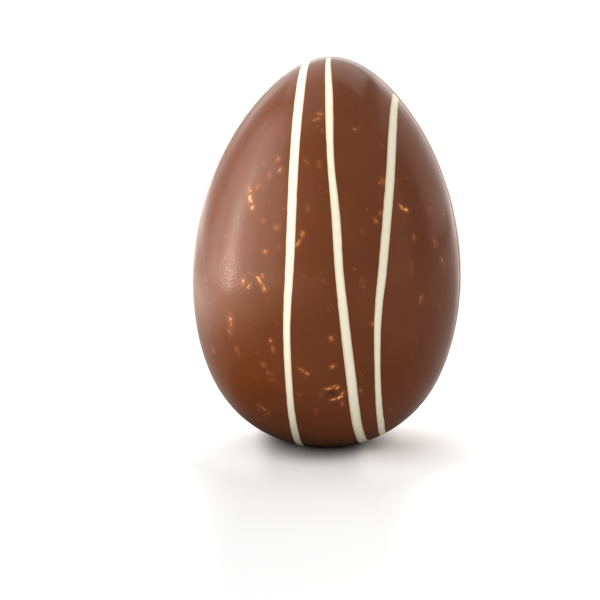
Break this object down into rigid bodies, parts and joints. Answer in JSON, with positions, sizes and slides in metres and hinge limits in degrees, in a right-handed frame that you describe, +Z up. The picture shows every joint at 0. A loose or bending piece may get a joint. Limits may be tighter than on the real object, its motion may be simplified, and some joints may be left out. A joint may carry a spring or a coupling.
{
  "type": "chocolate egg",
  "caption": "Moulded milk-chocolate egg standing on its blunt end, with upright lines of white chocolate and flecks of caramel.",
  "frame": {"origin": "middle of the flat spot that the egg stands on", "axes": "+Z up along the egg's axis to its tip, -Y out of the front half, the seam between the halves in the XZ plane"},
  "size_m": [0.1044, 0.1037, 0.1503],
  "materials": {
    "milk_chocolate": "satin gloss, as tempered chocolate comes out of a polished mould",
    "white_chocolate": "satin gloss, creamy white",
    "caramel": "glassy amber crumbs"
  },
  "bodies": {
    "root": {"front_half": "milk_chocolate", "back_half": "milk_chocolate", "front_line_left": "white_chocolate", "front_line_middle": "white_chocolate", "front_line_right": "white_chocolate", "back_line_left": "white_chocolate", "back_line_middle": "white_chocolate", "back_line_right": "white_chocolate"}
  },
  "joints": []
}
